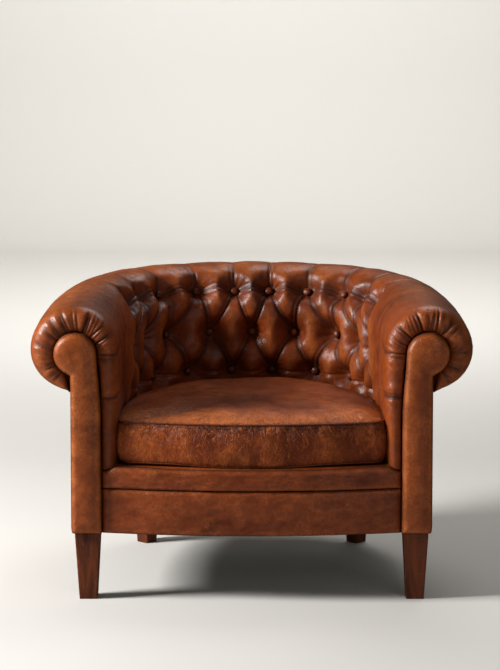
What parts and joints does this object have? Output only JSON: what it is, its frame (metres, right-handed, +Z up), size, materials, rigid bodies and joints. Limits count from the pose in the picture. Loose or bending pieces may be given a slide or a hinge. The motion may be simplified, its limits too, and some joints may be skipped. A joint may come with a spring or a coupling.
{
  "type": "worn club chair",
  "caption": "Low tub chair in worn cognac leather: deep-buttoned inside, rolled arms and back in one sweep, loose cushion, tapered wooden legs.",
  "frame": {"origin": "middle of the chair's footprint, on the floor", "axes": "+Z up, the chair faces -Y, +X is on the right of someone who looks at its front"},
  "size_m": [0.9638, 0.7966, 0.6731],
  "materials": {
    "leather": "worn satin",
    "panel_leather": "worn satin",
    "walnut": "waxed",
    "frame_wood": "raw",
    "spring_steel": "raw",
    "webbing": "raw",
    "deck_cloth": "matt",
    "bottom_cloth": "matt"
  },
  "bodies": {
    "root": {"tufted_inside_and_roll": "leather", "seat_cushion": "leather", "front_border": "leather", "front_apron": "leather", "arm_facing_left": "leather", "arm_facing_right": "leather", "outside_back": "panel_leather", "outside_arm_left": "panel_leather", "outside_arm_right": "panel_leather", "front_leg_left": "walnut", "front_leg_right": "walnut", "back_leg_left": "walnut", "back_leg_right": "walnut", "top_rail": "frame_wood", "curved_seat_rail": "frame_wood", "front_rail": "frame_wood", "front_post_left": "frame_wood", "front_post_right": "frame_wood", "back_post_left": "frame_wood", "back_post_right": "frame_wood", "back_corner_block_left": "frame_wood", "back_corner_block_right": "frame_wood", "seat_webbing": "webbing", "seat_deck": "deck_cloth", "bottom_cloth": "bottom_cloth", "button_low_01": "leather", "button_low_02": "leather", "button_low_03": "leather", "button_low_04": "leather", "button_low_05": "leather", "button_low_06": "leather", "button_low_07": "leather", "button_low_08": "leather", "button_low_09": "leather", "button_low_10": "leather", "button_middle_01": "leather", "button_middle_02": "leather", "button_middle_03": "leather", "button_middle_04": "leather", "button_middle_05": "leather", "button_middle_06": "leather", "button_middle_07": "leather", "button_middle_08": "leather", "button_middle_09": "leather", "button_top_01": "leather", "button_top_02": "leather", "button_top_03": "leather", "button_top_04": "leather", "button_top_05": "leather", "button_top_06": "leather", "button_top_07": "leather", "button_top_08": "leather", "button_top_09": "leather", "button_top_10": "leather", "seat_spring_front_left": "spring_steel", "seat_spring_front_right": "spring_steel", "seat_spring_middle": "spring_steel", "seat_spring_back_left": "spring_steel", "seat_spring_back_right": "spring_steel"}
  },
  "joints": []
}
